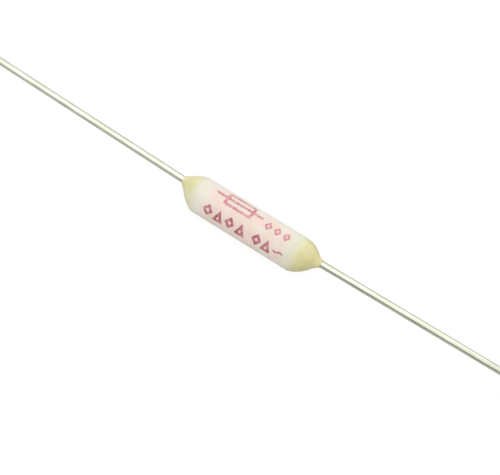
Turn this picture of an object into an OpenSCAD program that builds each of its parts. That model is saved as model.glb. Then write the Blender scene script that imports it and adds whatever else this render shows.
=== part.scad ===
// Axial thermal fuse of the fusible alloy kind: a ceramic tube with a resin seal at each end,
// two tinned leads, and between their inner tips a link of low-melting alloy in a coat of flux.
// Lengths are in millimetres. The tube lies along X with its middle at the origin, Z is up.
// Both leads sit off the tube's centre line by the same amount along Y, and the seals lean with them.

/* [Tube] */
// Outside diameter of the ceramic tube
tube_d = 4.2; // [3.8:0.1:5]
// Bore of the ceramic tube
bore_d = 2.9; // [2.6:0.1:3.2]
// Length of the ceramic tube
tube_len = 13; // [12:0.5:16]
// Chamfer round the outer edge of each end face
rim_chamfer = 0.06; // [0.05:0.01:0.2]

/* [Leads] */
// Wire diameter
lead_d = 0.8; // [0.7:0.05:0.9]
// Straight free length of wire past the bend at each seal
lead_free = 35; // [15:1:45]
// Distance of the wires from the tube's centre line
lead_offset = 0.5; // [0:0.05:0.55]
// Bend of the left wire where it leaves its seal, degrees
left_bend_angle = 1.35; // [0.2:0.05:5]
// Bend of the right wire where it leaves its seal, degrees
right_bend_angle = 0.8; // [0.2:0.05:5]
// How far past its seal each wire bends
bend_start = 0.5; // [0.3:0.1:2]

/* [Seals] */
// How far the left seal reaches past the tube
seal_left_len = 2.55; // [2:0.05:3.5]
// How far the right seal reaches past the tube
seal_right_len = 2.8; // [2:0.05:3.5]
// Resin left round the wire at the tip of a seal
seal_tip_wall = 0.06; // [0.04:0.01:0.1]
// How deep the resin fills the bore
plug_depth = 2; // [1.5:0.1:2.5]
// Dish in the inner face of the resin, left by its meniscus
plug_dish = 0.35; // [0.1:0.05:0.5]

/* [Fusible core] */
// Length of the alloy link, over the lumps that hold the wires
element_len = 4.6; // [4:0.1:5]
// Diameter of the link in its middle
element_d = 0.72; // [0.6:0.02:0.8]
// Diameter of the lumps round the wire tips
joint_d = 1.24; // [1.1:0.02:1.3]
// Length of wire held in each lump
joint_cover = 0.8; // [0.5:0.05:1]
// Length of the flux
flux_len = 6.8; // [6:0.1:7.2]
// Diameter of the flux in its middle
flux_d = 1.7; // [1.6:0.05:1.8]

/* [Hidden] */
$fn = 96;
half_len = tube_len / 2;
face_d = tube_d - 2 * rim_chamfer;
lean_left = lead_offset / seal_left_len;
lean_right = lead_offset / seal_right_len;
wire_tip = element_len / 2 - joint_cover;
plug_face = half_len - plug_depth;
skin_d = lead_d + 2 * seal_tip_wall;
curve_steps = 12;

// Handles of the two curves of each bead, as shares of its length and of its height over the wire.
seal_left_shares = [[0, 1], [0.1, 0.985], [0.46, 0.69], [0.57, 0.53], [0.73, 0.297], [0.93, 0.08], [1, 0]];
seal_right_shares = [[0, 1], [0.22, 1], [0.53, 0.65], [0.63, 0.465], [0.75, 0.243], [0.86, 0.07], [1, 0]];
// Outlines from the middle outwards, as shares of half the length and of the growth from the thin diameter.
element_shares = [
    [0, 0], [0.36, 0.05], [0.5, 0.3], [0.66, 0.85], [0.78, 1], [0.9, 0.88], [1, 0.35]
];
flux_shares = [
    [0, 1], [0.24, 0.97], [0.46, 0.85], [0.64, 0.64], [0.84, 0.28], [1, 0]
];
// The dish of the plug, as shares of the bore's radius and of the dish's depth.
dish_shares = [[0, 1], [0.3, 0.9], [0.55, 0.66], [0.78, 0.33], [1, 0]];
// The knuckle of a bend, as a share of the wire's diameter.
knuckle_share = 1.01;

function bezier(p, t) = pow(1 - t, 3) * p[0] + 3 * pow(1 - t, 2) * t * p[1]
    + 3 * (1 - t) * t * t * p[2] + t * t * t * p[3];
function bead_curve(s) = [
    for (part = [0, 3])
        for (i = [part / 3 : curve_steps])
            bezier([s[part], s[part + 1], s[part + 2], s[part + 3]], i / curve_steps)
];
function mirrored(points) = [
    for (i = [len(points) - 1 : -1 : 1]) [points[i][0], -points[i][1]]
];

// Turns an outline of [radius, place along X] about the X axis.
module turned(outline) {
    rotate([0, 90, 0])
        rotate_extrude()
            polygon(outline);
}

module ceramic_tube() {
    color("ivory")
        turned([
            [bore_d / 2, -half_len],
            [face_d / 2, -half_len],
            [tube_d / 2, rim_chamfer - half_len],
            [tube_d / 2, half_len - rim_chamfer],
            [face_d / 2, half_len],
            [bore_d / 2, half_len]
        ]);
}

// A straight run of wire between two distances from the middle of the tube.
module wire_run(side, from, to) {
    translate([side > 0 ? from : -to, lead_offset, 0])
        rotate([0, 90, 0])
            cylinder(d = lead_d, h = to - from);
}

// The inner tip is at wire_tip, and the wire bends a little way past the resin.
module lead_wire(side, seal_len, bend) {
    knee = half_len + seal_len + bend_start;
    color("silver")
        union() {
            wire_run(side, wire_tip, knee);
            translate([side * knee, lead_offset, 0])
                rotate([0, 90, 0])
                    sphere(d = lead_d * knuckle_share);
            translate([side * knee, lead_offset, 0])
                rotate([0, 0, side > 0 ? bend : 180 - bend])
                    rotate([0, 90, 0])
                        cylinder(d = lead_d, h = lead_free);
        }
}

module lead_wire_left() {
    lead_wire(-1, seal_left_len, left_bend_angle);
}

module lead_wire_right() {
    lead_wire(1, seal_right_len, right_bend_angle);
}

// The resin in the bore is round the tube's centre line.
// The bead outside leans, so that its tip is round the wire.
module end_seal(side, seal_len, lean, shares) {
    bead = [
        for (p = bead_curve(shares))
            [(skin_d + p[1] * (face_d - skin_d)) / 2, side * (half_len + p[0] * seal_len)]
    ];
    plug = [
        for (p = dish_shares)
            [p[0] * bore_d / 2, side * (plug_face + p[1] * plug_dish)]
    ];
    color("khaki")
        difference() {
            union() {
                multmatrix([
                    [1, 0, 0, 0],
                    [side * lean, 1, 0, -lean * half_len],
                    [0, 0, 1, 0]
                ])
                    turned(concat([[0, side * half_len]], bead, [[0, side * (half_len + seal_len)]]));
                turned(concat(plug, [[bore_d / 2, side * half_len], [0, side * half_len]]));
            }
            wire_run(side, plug_face - plug_depth, half_len + seal_len + lead_d);
        }
}

module end_seal_left() {
    end_seal(-1, seal_left_len, lean_left, seal_left_shares);
}

module end_seal_right() {
    end_seal(1, seal_right_len, lean_right, seal_right_shares);
}

module element_body() {
    half = [
        for (p = element_shares)
            [(element_d + p[1] * (joint_d - element_d)) / 2, p[0] * element_len / 2]
    ];
    translate([0, lead_offset, 0])
        turned(concat([[0, -element_len / 2]], mirrored(half), half, [[0, element_len / 2]]));
}

module fusible_element() {
    color("lightslategray")
        difference() {
            element_body();
            wire_run(-1, wire_tip, element_len);
            wire_run(1, wire_tip, element_len);
        }
}

module flux_coating() {
    half = [
        for (p = flux_shares)
            [(skin_d + p[1] * (flux_d - skin_d)) / 2, p[0] * flux_len / 2]
    ];
    color("goldenrod")
        difference() {
            translate([0, lead_offset, 0])
                turned(concat([[0, -flux_len / 2]], mirrored(half), half, [[0, flux_len / 2]]));
            element_body();
            wire_run(-1, wire_tip, flux_len);
            wire_run(1, wire_tip, flux_len);
        }
}

ceramic_tube();
end_seal_left();
end_seal_right();
lead_wire_left();
lead_wire_right();
fusible_element();
flux_coating();
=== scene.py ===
import bmesh
import bpy
from math import cos, hypot, pi, radians, sin, tan
from mathutils import Matrix, Vector
from mathutils.noise import noise_vector, seed_set


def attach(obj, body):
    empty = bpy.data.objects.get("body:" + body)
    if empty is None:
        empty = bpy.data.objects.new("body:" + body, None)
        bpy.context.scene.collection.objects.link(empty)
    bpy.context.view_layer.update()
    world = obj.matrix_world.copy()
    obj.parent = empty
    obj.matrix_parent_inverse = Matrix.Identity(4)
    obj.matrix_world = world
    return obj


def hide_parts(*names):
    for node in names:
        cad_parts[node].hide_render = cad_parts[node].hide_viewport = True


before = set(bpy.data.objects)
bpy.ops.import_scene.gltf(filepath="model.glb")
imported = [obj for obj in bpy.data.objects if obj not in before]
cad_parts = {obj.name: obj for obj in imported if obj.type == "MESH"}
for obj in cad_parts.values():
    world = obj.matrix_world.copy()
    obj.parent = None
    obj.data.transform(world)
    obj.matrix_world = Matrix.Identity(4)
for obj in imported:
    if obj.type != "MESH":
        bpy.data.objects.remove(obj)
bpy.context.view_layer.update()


# Lead wires, one at each end.
# Copper wire of 0.8 mm, drawn and then dipped in tin, 0.5 mm to one side of the tube's centre line. The link
# holds the inner tips, and the resin holds the wires. Each is bent a touch past its seal, and cut square.

# Sizes are in millimetres, and mm turns them to metres. Only the floor's and the softbox's are in metres.
mm = 0.001
lead_r = 0.4
lead_offset = 0.5
lead_tip_x = 1.5
lead_free = 35
lead_sides = 56
cut_softening = 0.05
bend_start = 0.5
bend_reach = 0.4
bend_steps = 12
straight_step = 3
tube_half = 6.5
seal_reach = {"left": 2.55, "right": 2.8}
bend_angle = {"left": radians(1.35), "right": radians(0.8)}
end_sign = {"left": -1, "right": 1}
merge_gap = 0.0002
sharp_angle = radians(32)


def linear(colour):
    """An sRGB hex colour as linear RGBA."""
    parts = [int(colour[i : i + 2], 16) / 255 for i in (1, 3, 5)]
    return tuple(c / 12.92 if c <= 0.04045 else ((c + 0.055) / 1.055) ** 2.4 for c in parts) + (1,)


def node(tree, kind, inputs=None, **settings):
    """A new node with its settings, and each input linked to a socket or given a value."""
    made = tree.nodes.new(kind)
    for name, value in settings.items():
        setattr(made, name, value)
    for name, value in (inputs or {}).items():
        if isinstance(value, bpy.types.NodeSocket):
            tree.links.new(value, made.inputs[name])
        else:
            made.inputs[name].default_value = value
    return made


def material(name):
    """An empty node material and its tree."""
    made = bpy.data.materials.new(name)
    made.use_nodes = True
    made.node_tree.nodes.clear()
    return made, made.node_tree


def piece(name, bm, finish, stands_for=()):
    """A finished mesh as a piece that rides with the fuse."""
    bmesh.ops.remove_doubles(bm, verts=bm.verts[:], dist=merge_gap * mm)
    bmesh.ops.recalc_face_normals(bm, faces=bm.faces[:])
    for face in bm.faces:
        face.smooth = True
    for edge in bm.edges:
        edge.smooth = len(edge.link_faces) == 2 and edge.calc_face_angle(0) < sharp_angle
    mesh = bpy.data.meshes.new(name)
    bm.to_mesh(mesh)
    bm.free()
    made = bpy.data.objects.new(name, mesh)
    bpy.context.scene.collection.objects.link(made)
    mesh.materials.append(finish)
    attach(made, "root")
    for hidden in stands_for:
        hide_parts(hidden)


# Tinned copper, drawn and dipped: a bright metal, slightly warm, with soft blotches where the tin ran, and
# faint lines along it from the drawing die. A thin oxide dims it towards its edges.
# Real die lines are too fine to show, so they are drawn 0.09 mm apart.
line_size = (6 * mm, 0.09 * mm, 0.09 * mm)
blotch_size = (2.2 * mm, 0.7 * mm, 0.7 * mm)
tinned_copper, tree = material("tinned_copper_drawn_and_dipped")
place = node(tree, "ShaderNodeTexCoord")
line_place = node(
    tree,
    "ShaderNodeMapping",
    {"Vector": place.outputs["Object"], "Scale": [1 / size for size in line_size]},
)
lines = node(tree, "ShaderNodeTexNoise", {"Vector": line_place.outputs[0], "Scale": 1, "Detail": 3})
blotch_place = node(
    tree,
    "ShaderNodeMapping",
    {"Vector": place.outputs["Object"], "Scale": [1 / size for size in blotch_size]},
)
blotches = node(tree, "ShaderNodeTexNoise", {"Vector": blotch_place.outputs[0], "Scale": 1, "Detail": 4})
tin = node(tree, "ShaderNodeValToRGB", {"Fac": blotches.outputs["Fac"]})
for stop, position, colour in zip(tin.color_ramp.elements, (0.34, 0.62), ("#DBDCC8", "#F1F2E0")):
    stop.position = position
    stop.color = linear(colour)
gloss = node(tree, "ShaderNodeMapRange", {"Value": lines.outputs["Fac"], "To Min": 0.12, "To Max": 0.2})
relief = node(
    tree,
    "ShaderNodeBump",
    {"Height": lines.outputs["Fac"], "Strength": 0.12, "Distance": 0.01 * mm},
)
metal = node(
    tree,
    "ShaderNodeBsdfPrincipled",
    {
        "Base Color": tin.outputs["Color"],
        "Metallic": 1,
        "Specular Tint": (0.45, 0.45, 0.42, 1),
        "Roughness": gloss.outputs[0],
        "Normal": relief.outputs[0],
    },
)
node(tree, "ShaderNodeOutputMaterial", {"Surface": metal.outputs[0]})

for end, sign in end_sign.items():
    # The wire starts as a straight rod from its inner tip outwards.
    knee = tube_half + seal_reach[end] + bend_start
    length = knee + lead_free - lead_tip_x
    bm = bmesh.new()
    bmesh.ops.create_cone(
        bm,
        cap_ends=True,
        segments=lead_sides,
        radius1=lead_r * mm,
        radius2=lead_r * mm,
        depth=length * mm,
    )
    bmesh.ops.rotate(bm, verts=bm.verts[:], cent=(0, 0, 0), matrix=Matrix.Rotation(pi / 2, 3, "Y"))
    bmesh.ops.translate(bm, verts=bm.verts[:], vec=((lead_tip_x + length / 2) * mm, 0, 0))
    bmesh.ops.bevel(
        bm,
        geom=[e for e in bm.edges if e.calc_length() < lead_r * mm],
        offset=cut_softening * mm,
        segments=3,
        profile=0.5,
        affect="EDGES",
        material=-1,
    )
    # It is cut into rings, close together at the knee, and then laid along a short arc there.
    arc_start = knee - bend_reach
    arc_r = bend_reach / tan(bend_angle[end] / 2)
    cuts = [knee + bend_reach * (2 * i / bend_steps - 1) for i in range(bend_steps + 1)]
    cuts += [knee + straight_step * i for i in range(1, lead_free // straight_step + 1)]
    for cut in cuts:
        everything = bm.verts[:] + bm.edges[:] + bm.faces[:]
        bmesh.ops.bisect_plane(bm, geom=everything, plane_co=(cut * mm, 0, 0), plane_no=(1, 0, 0))
    for v in bm.verts:
        along = v.co.x / mm
        side = v.co.y / mm
        past = along - arc_start
        turn = min(max(past / arc_r, 0), bend_angle[end])
        beyond = max(past - arc_r * bend_angle[end], 0)
        path_x = min(along, arc_start) + arc_r * sin(turn) + beyond * cos(turn)
        path_y = arc_r * (1 - cos(turn)) + beyond * sin(turn)
        x = sign * (path_x - side * sin(turn))
        y = lead_offset + path_y + side * cos(turn)
        v.co = Vector((x, y, v.co.z / mm)) * mm
    piece("wire_" + end, bm, tinned_copper, ["lead_wire_" + end])


# Fusible link, inside the tube.
# A short rod of low-melting tin and bismuth alloy, cast round the two wire tips.
# It keeps the shape of its solid.

# Low-melting alloy, as cast: a dull grey metal with a fine grain of crystals.
crystal_size = 0.12 * mm
fusible_alloy, tree = material("low_melting_alloy_cast")
place = node(tree, "ShaderNodeTexCoord")
grains = node(tree, "ShaderNodeTexVoronoi", {"Vector": place.outputs["Object"], "Scale": 1 / crystal_size})
grey = node(tree, "ShaderNodeValToRGB", {"Fac": grains.outputs["Distance"]})
for stop, colour in zip(grey.color_ramp.elements, ("#8D9095", "#B4B6B8")):
    stop.color = linear(colour)
relief = node(
    tree,
    "ShaderNodeBump",
    {"Height": grains.outputs["Distance"], "Strength": 0.3, "Distance": 0.02 * mm},
)
metal = node(
    tree,
    "ShaderNodeBsdfPrincipled",
    {
        "Base Color": grey.outputs["Color"],
        "Metallic": 1,
        "Roughness": 0.45,
        "Normal": relief.outputs[0],
    },
)
node(tree, "ShaderNodeOutputMaterial", {"Surface": metal.outputs[0]})
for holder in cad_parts["fusible_element"].material_slots:
    holder.material = fusible_alloy


# Flux round the link, inside the tube.
# Rosin and wax, melted on round the link and the wire tips, and left to set.
# It keeps the shape of its solid.

# Rosin and wax, set from a melt: an amber skin, a little cloudy, through which some light passes.
cloud_size = 0.6 * mm
flux_resin, tree = material("rosin_wax_flux_set")
place = node(tree, "ShaderNodeTexCoord")
clouds = node(
    tree,
    "ShaderNodeTexNoise",
    {"Vector": place.outputs["Object"], "Scale": 1 / cloud_size, "Detail": 4},
)
amber = node(tree, "ShaderNodeValToRGB", {"Fac": clouds.outputs["Fac"]})
for stop, position, colour in zip(amber.color_ramp.elements, (0.35, 0.65), ("#A8762E", "#D2A75C")):
    stop.position = position
    stop.color = linear(colour)
relief = node(
    tree,
    "ShaderNodeBump",
    {"Height": clouds.outputs["Fac"], "Strength": 0.2, "Distance": 0.05 * mm},
)
wax = node(
    tree,
    "ShaderNodeBsdfPrincipled",
    {
        "Base Color": amber.outputs["Color"],
        "Roughness": 0.4,
        "Subsurface Weight": 0.4,
        "Subsurface Scale": 0.4 * mm,
        "Normal": relief.outputs[0],
    },
)
node(tree, "ShaderNodeOutputMaterial", {"Surface": wax.outputs[0]})
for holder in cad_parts["flux_coating"].material_slots:
    holder.material = flux_resin


# Ceramic tube.
# One alumina tube, pressed and fired, and slid over the link and its flux. Its rims are tumbled, so their
# edges are a little soft. Its skin lies under that of its solid by the thickness of the ink.
tube_r = 2.1
bore_r = 1.45
rim_chamfer = 0.06
rim_softening = 0.02
face_r = tube_r - rim_chamfer
mid_wall_r = (bore_r + tube_r) / 2
ink_film = 0.01
ceramic_r = tube_r - ink_film
round_steps = 112

# Alumina ceramic, fired and unglazed: cream white and matt, with soft clouds, a few darker specks and the
# tooth of the fired grain. The real grain is too fine to show, so it is drawn at 0.12 mm.
tone_size = 2.5 * mm
grain_size = 0.12 * mm
speck_spacing = 0.9 * mm
ceramic, tree = material("alumina_ceramic_fired")
place = node(tree, "ShaderNodeTexCoord")
tone = node(
    tree,
    "ShaderNodeTexNoise",
    {"Vector": place.outputs["Object"], "Scale": 1 / tone_size, "Detail": 5, "Roughness": 0.6},
)
cream = node(tree, "ShaderNodeValToRGB", {"Fac": tone.outputs["Fac"]})
for stop, position, colour in zip(cream.color_ramp.elements, (0.3, 0.7), ("#ECE8DB", "#F6F4E9")):
    stop.position = position
    stop.color = linear(colour)
grain = node(
    tree,
    "ShaderNodeTexNoise",
    {"Vector": place.outputs["Object"], "Scale": 1 / grain_size, "Detail": 3, "Roughness": 0.65},
)
specks = node(tree, "ShaderNodeTexVoronoi", {"Vector": place.outputs["Object"], "Scale": 1 / speck_spacing})
speck = node(
    tree,
    "ShaderNodeMapRange",
    {"Value": specks.outputs["Distance"], "From Min": 0.03, "From Max": 0.07, "To Min": 0.55, "To Max": 0},
)
body = node(
    tree,
    "ShaderNodeMix",
    {"Factor": speck.outputs[0], "A": cream.outputs["Color"], "B": linear("#CFC6B4")},
    data_type="RGBA",
)

# Round the marks the ceramic has a pink haze of thinned ink, uneven, and fading out on all four sides.
haze_size = 0.8 * mm
axes = node(tree, "ShaderNodeSeparateXYZ", {"Vector": place.outputs["Object"]})
around = node(tree, "ShaderNodeMath", {0: axes.outputs["Y"], 1: axes.outputs["Z"]}, operation="ARCTAN2")
haze = node(
    tree,
    "ShaderNodeTexNoise",
    {"Vector": place.outputs["Object"], "Scale": 1 / haze_size, "Detail": 4},
)
haze = node(
    tree,
    "ShaderNodeMapRange",
    {"Value": haze.outputs["Fac"], "From Min": 0.35, "From Max": 0.65, "To Min": 0.25, "To Max": 0.6},
)
for value, bare, inked in (
    (axes.outputs["X"], -5.9 * mm, -4.2 * mm),
    (axes.outputs["X"], 6.2 * mm, 4.8 * mm),
    (around.outputs[0], radians(-130), radians(-85)),
    (around.outputs[0], radians(50), radians(25)),
):
    side = node(
        tree,
        "ShaderNodeMapRange",
        {"Value": value, "From Min": bare, "From Max": inked},
        interpolation_type="SMOOTHSTEP",
    )
    haze = node(tree, "ShaderNodeMath", {0: haze.outputs[0], 1: side.outputs[0]}, operation="MULTIPLY")
stained = node(tree, "ShaderNodeMix", {"Factor": haze.outputs[0], "B": linear("#F8D4CB")}, data_type="RGBA")
tree.links.new(body.outputs["Result"], stained.inputs["A"])

# Towards both ends the resin has crept along the ceramic and yellows it.
for inner, outer, most in ((-4.8, -6.5, 0.4), (4.6, 6.5, 0.6)):
    creep = node(
        tree,
        "ShaderNodeMapRange",
        {
            "Value": axes.outputs["X"],
            "From Min": inner * mm,
            "From Max": outer * mm,
            "To Min": 0,
            "To Max": most,
        },
        interpolation_type="SMOOTHSTEP",
    )
    wetted = node(
        tree,
        "ShaderNodeMix",
        {"Factor": creep.outputs[0], "B": linear("#E4E0C8")},
        data_type="RGBA",
    )
    tree.links.new(stained.outputs["Result"], wetted.inputs["A"])
    stained = wetted

# A little light passes through the fired body. It fades out at the seals, so that no line shows there.
relief = node(
    tree,
    "ShaderNodeBump",
    {"Height": grain.outputs["Fac"], "Strength": 0.5, "Distance": 0.02 * mm},
)
rough = node(tree, "ShaderNodeMapRange", {"Value": grain.outputs["Fac"], "To Min": 0.32, "To Max": 0.42})
from_middle = node(tree, "ShaderNodeMath", {0: axes.outputs["X"]}, operation="ABSOLUTE")
glow_through = node(
    tree,
    "ShaderNodeMapRange",
    {
        "Value": from_middle.outputs[0],
        "From Min": tube_half * mm,
        "From Max": 5.3 * mm,
        "To Min": 0,
        "To Max": 0.2,
    },
    interpolation_type="SMOOTHSTEP",
)
fired = node(
    tree,
    "ShaderNodeBsdfPrincipled",
    {
        "Roughness": rough.outputs[0],
        "Diffuse Roughness": 1,
        "Subsurface Weight": glow_through.outputs[0],
        "IOR": 1.76,
        "Subsurface Radius": (1, 0.8, 0.7),
        "Subsurface Scale": 0.6 * mm,
        "Normal": relief.outputs[0],
    },
)
tree.links.new(stained.outputs["Result"], fired.inputs["Base Color"])
node(tree, "ShaderNodeOutputMaterial", {"Surface": fired.outputs[0]})


def turned(outline):
    """A solid turned about the X axis from an outline of (place along X, radius), in mm."""
    bm = bmesh.new()
    corners = [bm.verts.new((x * mm, 0, r * mm)) for x, r in outline]
    rim = [bm.edges.new((a, b)) for a, b in zip(corners, corners[1:] + corners[:1])]
    bmesh.ops.spin(
        bm,
        geom=corners + rim,
        cent=(0, 0, 0),
        axis=(1, 0, 0),
        angle=2 * pi,
        steps=round_steps,
        use_merge=True,
    )
    return bm


left_end = [(-tube_half, bore_r), (-tube_half, face_r), (rim_chamfer - tube_half, ceramic_r)]
bm = turned(left_end + [(-x, r) for x, r in reversed(left_end)])
bmesh.ops.remove_doubles(bm, verts=bm.verts[:], dist=merge_gap * mm)
outer_rims = [
    e
    for e in bm.edges
    if abs(e.verts[0].co.x - e.verts[1].co.x) < merge_gap * mm
    and all(hypot(v.co.y, v.co.z) > mid_wall_r * mm for v in e.verts)
]
bmesh.ops.bevel(
    bm,
    geom=outer_rims,
    offset=rim_softening * mm,
    segments=3,
    profile=0.5,
    affect="EDGES",
    material=-1,
)
piece("tube", bm, ceramic, ["ceramic_tube"])


# Printed marks on the tube, plain shapes in two rows.
# A film of red ink laid by a soft pad, a hundredth of a millimetre proud of the ceramic.
# Above stand a fuse symbol and three small diamonds, and below bold diamonds and triangles, and a wave.
upper_row_angle = radians(14.2)
lower_row_angle = radians(-52.6)
bold_stroke = 0.3
small_stroke = 0.22
ink_depth = 0.03
ink_step = 0.075
row_half_height = 1.2
row_half_length = 5.7
seam_gap = 0.002
edge_rounding = 6
ragged = 0.018
ragged_per_mm = 6

# The seed gives the ragged edges the same form on each run.
seed_set(1)


def ink(name, full, faint):
    """Red ink, pad-printed: matt, and patchy between a full and a faint colour where the pad lifted off."""
    patch_size = 0.35 * mm
    made, tree = material(name)
    place = node(tree, "ShaderNodeTexCoord")
    patches = node(
        tree,
        "ShaderNodeTexNoise",
        {"Vector": place.outputs["Object"], "Scale": 1 / patch_size, "Detail": 5},
    )
    red = node(tree, "ShaderNodeValToRGB", {"Fac": patches.outputs["Fac"]})
    for stop, position, colour in zip(red.color_ramp.elements, (0.36, 0.68), (full, faint)):
        stop.position = position
        stop.color = linear(colour)
    film = node(tree, "ShaderNodeBsdfPrincipled", {"Base Color": red.outputs["Color"], "Roughness": 0.55})
    node(tree, "ShaderNodeOutputMaterial", {"Surface": film.outputs[0]})
    return made


def draw_outline(bm, x, y, corners, width, height, stroke, turn=0):
    """A flat outlined polygon, in mm along and round the tube."""
    lie = Matrix.Rotation(turn, 4, "Z")
    new = bmesh.ops.create_circle(bm, cap_ends=True, segments=corners, radius=1, matrix=lie)["verts"]
    wide = max(v.co.x for v in new)
    low = min(v.co.y for v in new)
    high = max(v.co.y for v in new)
    for v in new:
        v.co.x = x + v.co.x / wide * width / 2
        v.co.y = y + ((v.co.y - low) / (high - low) - 0.5) * height
    face = new[0].link_faces[0]
    face.normal_update()
    bmesh.ops.inset_region(bm, faces=[face], thickness=stroke, use_boundary=True, use_even_offset=True)
    bmesh.ops.delete(bm, geom=[face], context="FACES_ONLY")


def draw_stroke(bm, start, end, stroke, wave=0, parts=1):
    """A flat stroke along the middle of a row, straight or waved, in mm."""
    new = bmesh.ops.create_grid(bm, x_segments=parts, y_segments=1, size=0.5)["verts"]
    for v in new:
        along = start + (v.co.x + 0.5) * (end - start)
        v.co = Vector((along, v.co.y * stroke + wave * sin(2 * pi * v.co.x), 0))


def print_row(name, bm, angle, finish):
    """A flat row as a thin film round the tube at an angle from its top, with soft and ragged edges."""
    # Cuts on a fine grid let the film follow the tube, and give its edges enough points.
    for across, reach in ((Vector((0, 1, 0)), row_half_height), (Vector((1, 0, 0)), row_half_length)):
        most = round(reach / ink_step)
        for step in range(-most, most + 1):
            everything = bm.verts[:] + bm.edges[:] + bm.faces[:]
            bmesh.ops.bisect_plane(bm, geom=everything, plane_co=across * step * ink_step, plane_no=across)
    bmesh.ops.remove_doubles(bm, verts=bm.verts[:], dist=seam_gap)

    # Each point of an edge moves towards the middle of its neighbours, which rounds the corners off.
    rim = [v for v in bm.verts if v.is_boundary]
    for _ in range(edge_rounding):
        middle = {}
        for v in rim:
            neighbours = [e.other_vert(v).co for e in v.link_edges if e.is_boundary]
            middle[v] = sum(neighbours, Vector()) / 2
        for v in rim:
            v.co = (v.co + middle[v]) / 2
    for v in rim:
        v.co += noise_vector(v.co * ragged_per_mm) * Vector((ragged, ragged, 0))

    # The film gets its depth, of which most is sunk in the ceramic, and is wrapped round the tube.
    bm.normal_update()
    bmesh.ops.reverse_faces(bm, faces=[f for f in bm.faces if f.normal.z < 0])
    bmesh.ops.solidify(bm, geom=bm.faces[:], thickness=ink_depth)
    top = max(v.co.z for v in bm.verts)
    for v in bm.verts:
        r = tube_r + v.co.z - top
        turn = angle + v.co.y / tube_r
        v.co = Vector((v.co.x, r * sin(turn), r * cos(turn))) * mm
    piece(name, bm, finish)


bm = bmesh.new()
draw_outline(bm, -1.35, 0, corners=4, width=3.6, height=1.8, stroke=bold_stroke, turn=pi / 4)
for start, end in ((-4.5, -3.15), (-2.85, 0.15), (0.45, 1.65)):
    draw_stroke(bm, start, end, bold_stroke)
for x in (2.6, 3.8, 5):
    draw_outline(bm, x, -0.42, corners=4, width=0.95, height=1.15, stroke=small_stroke)
thin_ink = ink("red_ink_pad_printed_thin", "#CC7A84", "#E9BDB9")
print_row("print_upper", bm, upper_row_angle, thin_ink)

bm = bmesh.new()
for x in (-4.25, -1.35, 2.2):
    draw_outline(bm, x, 0, corners=4, width=1.3, height=1.5, stroke=bold_stroke)
for x in (-2.8, 0.1, 3.5):
    draw_outline(bm, x, 0, corners=3, width=1.35, height=1.5, stroke=bold_stroke)
draw_stroke(bm, 4.35, 5.6, small_stroke, wave=0.13, parts=16)
full_ink = ink("red_ink_pad_printed_full", "#B25664", "#D79A9B")
print_row("print_lower", bm, lower_row_angle, full_ink)


# End seals, one at each end.
# Pale yellow epoxy, poured as a liquid: it fills the end of the bore and stands as a bead over the rim.
# It drew a little way up the wire as it set, so the bead leans to the wire's side.
plug_face = 4.5
plug_dish = 0.35
dish_steps = 8
rim_inset = 0.02
skin_inset = 0.004
wire_skin_r = 0.46
bead_steps = 24
# Handles of the two curves of each bead, as shares of its reach and of its height over the wire.
bead_handles = {
    "left": [(0, 1), (0.1, 0.985), (0.46, 0.69), (0.57, 0.53), (0.73, 0.297), (0.93, 0.08), (1, 0)],
    "right": [(0, 1), (0.22, 1), (0.53, 0.65), (0.63, 0.465), (0.75, 0.243), (0.86, 0.07), (1, 0)],
}

# Epoxy resin, cast: pale yellow, smooth and half glossy, with slow ripples and clouds, and some light in it.
# It pales where it is thin over the rim. The right seal is painted a darker, deeper yellow towards its tip,
# a painted shade for the side that the light reaches less.
cloud_size = 1.6 * mm
ripple_size = 0.8 * mm
resin, tree = material("epoxy_resin_cast")
place = node(tree, "ShaderNodeTexCoord")
clouds = node(
    tree,
    "ShaderNodeTexNoise",
    {"Vector": place.outputs["Object"], "Scale": 1 / cloud_size, "Detail": 3},
)
yellow = node(tree, "ShaderNodeValToRGB", {"Fac": clouds.outputs["Fac"]})
for stop, position, colour in zip(yellow.color_ramp.elements, (0.35, 0.65), ("#E0DCA4", "#EEEABF")):
    stop.position = position
    stop.color = linear(colour)
axes = node(tree, "ShaderNodeSeparateXYZ", {"Vector": place.outputs["Object"]})
from_middle = node(tree, "ShaderNodeMath", {0: axes.outputs["X"]}, operation="ABSOLUTE")
thin = node(
    tree,
    "ShaderNodeMapRange",
    {
        "Value": from_middle.outputs[0],
        "From Min": 6.4 * mm,
        "From Max": 7.3 * mm,
        "To Min": 0.7,
        "To Max": 0,
    },
    interpolation_type="SMOOTHSTEP",
)
# Painted shade: the right seal darkens to a deeper yellow from 5 mm to 8 mm along the tube.
right_painted_shade = node(
    tree,
    "ShaderNodeMapRange",
    {"Value": axes.outputs["X"], "From Min": 5 * mm, "From Max": 8 * mm, "To Min": 0, "To Max": 0.32},
)
depth = node(tree, "ShaderNodeMix", {"Factor": right_painted_shade.outputs[0], "B": linear("#D6C785")}, data_type="RGBA")
tree.links.new(yellow.outputs["Color"], depth.inputs["A"])
hue = node(tree, "ShaderNodeMix", {"Factor": thin.outputs[0], "B": linear("#E9E6D0")}, data_type="RGBA")
tree.links.new(depth.outputs["Result"], hue.inputs["A"])
ripple = node(
    tree,
    "ShaderNodeTexNoise",
    {"Vector": place.outputs["Object"], "Scale": 1 / ripple_size, "Detail": 2},
)
relief = node(
    tree,
    "ShaderNodeBump",
    {"Height": ripple.outputs["Fac"], "Strength": 0.25, "Distance": 0.04 * mm},
)
rough = node(tree, "ShaderNodeMapRange", {"Value": clouds.outputs["Fac"], "To Min": 0.3, "To Max": 0.42})
glow_through = node(
    tree,
    "ShaderNodeMapRange",
    {
        "Value": from_middle.outputs[0],
        "From Min": tube_half * mm,
        "From Max": 7.3 * mm,
        "To Min": 0,
        "To Max": 0.5,
    },
    interpolation_type="SMOOTHSTEP",
)
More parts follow.
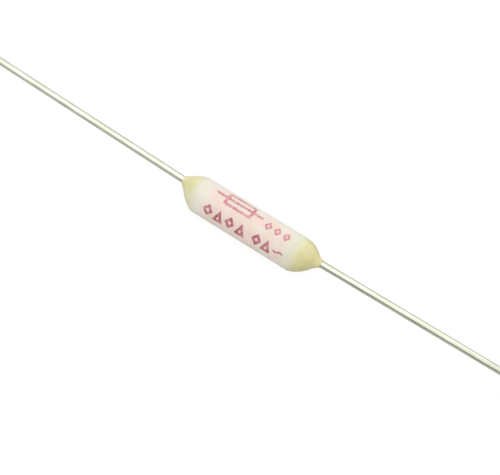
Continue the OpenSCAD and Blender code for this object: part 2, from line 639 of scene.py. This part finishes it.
epoxy = node(
    tree,
    "ShaderNodeBsdfPrincipled",
    {
        "Roughness": rough.outputs[0],
        "IOR": 1.54,
        "Subsurface Weight": glow_through.outputs[0],
        "Subsurface Radius": (1, 0.8, 0.5),
        "Subsurface Scale": 0.5 * mm,
        "Normal": relief.outputs[0],
    },
)
tree.links.new(hue.outputs["Result"], epoxy.inputs["Base Color"])
node(tree, "ShaderNodeOutputMaterial", {"Surface": epoxy.outputs[0]})

for end, sign in end_sign.items():
    # The outline runs from the dished face of the plug to the rim, where it tucks under the ceramic's skin,
    # and then along two curves to the wire.
    reach = seal_reach[end]
    dish = []
    for i in range(dish_steps + 1):
        share = i / dish_steps
        dish.append((plug_face + plug_dish * (1 - share**2), bore_r * share))
    over_rim = [
        (tube_half, bore_r),
        (tube_half, face_r - rim_inset),
        (tube_half - rim_chamfer, ceramic_r - skin_inset),
    ]
    bead = []
    for first in (0, 3):
        curve = bead_handles[end][first : first + 4]
        for i in range(1, bead_steps + 1):
            t = i / bead_steps
            weights = ((1 - t) ** 3, 3 * (1 - t) ** 2 * t, 3 * (1 - t) * t * t, t**3)
            along = sum(w * handle[0] for w, handle in zip(weights, curve))
            height = sum(w * handle[1] for w, handle in zip(weights, curve))
            bead.append((tube_half + reach * along, wire_skin_r + (face_r - wire_skin_r) * height))
    outline = dish + over_rim + bead + [(tube_half + reach, 0)]
    bm = turned([(sign * x, r) for x, r in outline])
    # Past the tube the bead leans, until its tip is round the wire.
    for v in bm.verts:
        v.co.y += lead_offset / reach * max(abs(v.co.x) - tube_half * mm, 0)
    piece("seal_" + end, bm, resin, ["end_seal_" + end])


# Camera.
# It looks from the angle of the photo, from above, in front and to the right, through a long lens.
azimuth = radians(35.18)
elevation = radians(61.13)
distance = 222
picture_width = 500
lens_pixels = 2036
right = Vector((cos(azimuth), sin(azimuth), 0))
back = Vector((-sin(azimuth), cos(azimuth), 0))
up = back * sin(elevation) + Vector((0, 0, cos(elevation)))
view = back * cos(elevation) - Vector((0, 0, sin(elevation)))
aim = right * 0.175 - up * 1.45
camera_data = bpy.data.cameras.new("camera")
camera_data.sensor_fit = "HORIZONTAL"
camera_data.sensor_width = 36
camera_data.lens = camera_data.sensor_width * lens_pixels / picture_width
camera_data.clip_start = 0.01
camera = bpy.data.objects.new("camera", camera_data)
camera.location = (aim - view * distance) * mm
camera.rotation_euler = view.to_track_quat("-Z", "Y").to_euler()
bpy.context.scene.collection.objects.link(camera)
bpy.context.scene.camera = camera


# Floor.
# A matt grey board under the tube, 6 m square. It glows for the camera, so that it shows as white as the
# background and keeps a share of the soft shadow. The metal sees a little of that glow.
floor_half = 3
glow_seen = 0.8
glow_in_metal = 0.12
floor_paint, tree = material("grey_board_matt")
ray = node(tree, "ShaderNodeLightPath")
in_metal = node(
    tree,
    "ShaderNodeMath",
    {0: ray.outputs["Is Glossy Ray"], 1: ray.outputs["Is Transmission Ray"]},
    operation="MAXIMUM",
)
in_metal = node(tree, "ShaderNodeMath", {0: in_metal.outputs[0], 1: glow_in_metal}, operation="MULTIPLY")
seen = node(tree, "ShaderNodeMath", {0: ray.outputs["Is Camera Ray"], 1: glow_seen}, operation="MULTIPLY")
seen = node(tree, "ShaderNodeMath", {0: seen.outputs[0], 1: in_metal.outputs[0]}, operation="MAXIMUM")
matt = node(tree, "ShaderNodeBsdfDiffuse", {"Color": linear("#B4B4B2")})
glow = node(tree, "ShaderNodeEmission", {"Strength": 1.165})
both = node(tree, "ShaderNodeMixShader", {0: seen.outputs[0], 1: matt.outputs[0], 2: glow.outputs[0]})
node(tree, "ShaderNodeOutputMaterial", {"Surface": both.outputs[0]})
bm = bmesh.new()
bmesh.ops.create_grid(bm, x_segments=1, y_segments=1, size=floor_half)
bmesh.ops.translate(bm, verts=bm.verts[:], vec=(0, 0, -tube_r * mm))
floor_mesh = bpy.data.meshes.new("floor")
bm.to_mesh(floor_mesh)
bm.free()
floor_mesh.materials.append(floor_paint)
floor = bpy.data.objects.new("floor", floor_mesh)
bpy.context.scene.collection.objects.link(floor)


# Light.
# A bright even room, one long softbox from the upper left of the picture, and a dark card low at the front.
# The card draws the dark line along the lower side of the bright wires. The camera sees white in its place.
card_light = 0.1
softbox_distance = 0.45
world = bpy.data.worlds.new("studio")
bpy.context.scene.world = world
world.use_nodes = True
tree = world.node_tree
tree.nodes.clear()
place = node(tree, "ShaderNodeTexCoord")
axes = node(tree, "ShaderNodeSeparateXYZ", {"Vector": place.outputs["Generated"]})
ray = node(tree, "ShaderNodeLightPath")
# Four sides shade the card off, each between two directions along one axis.
card = 1
for axis, outside, inside in (("X", -0.65, -0.2), ("X", 0.05, -0.05), ("Y", -0.4, -0.5), ("Z", 0.5, 0.4)):
    edge = node(
        tree,
        "ShaderNodeMapRange",
        {"Value": axes.outputs[axis], "From Min": outside, "From Max": inside},
    )
    within = node(tree, "ShaderNodeMath", {0: card, 1: edge.outputs[0]}, operation="MULTIPLY")
    card = within.outputs[0]
bright = node(tree, "ShaderNodeMapRange", {"Value": card, "To Min": 1, "To Max": card_light})
bright = node(
    tree,
    "ShaderNodeMath",
    {0: bright.outputs[0], 1: ray.outputs["Is Camera Ray"]},
    operation="MAXIMUM",
)
air = node(tree, "ShaderNodeBackground", {"Color": (1, 1, 1, 1), "Strength": bright.outputs[0]})
node(tree, "ShaderNodeOutputWorld", {"Surface": air.outputs[0]})

softbox_data = bpy.data.lights.new("softbox", "AREA")
softbox_data.shape = "RECTANGLE"
softbox_data.size = 0.6
softbox_data.size_y = 0.2
softbox_data.energy = 0.17
softbox = bpy.data.objects.new("softbox", softbox_data)
towards = (up * 0.65 - right * 0.25 - view * 0.7).normalized()
softbox.location = towards * softbox_distance
softbox.rotation_euler = (-towards).to_track_quat("-Z", "Y").to_euler()
bpy.context.scene.collection.objects.link(softbox)

bpy.context.scene.view_settings.view_transform = "Standard"
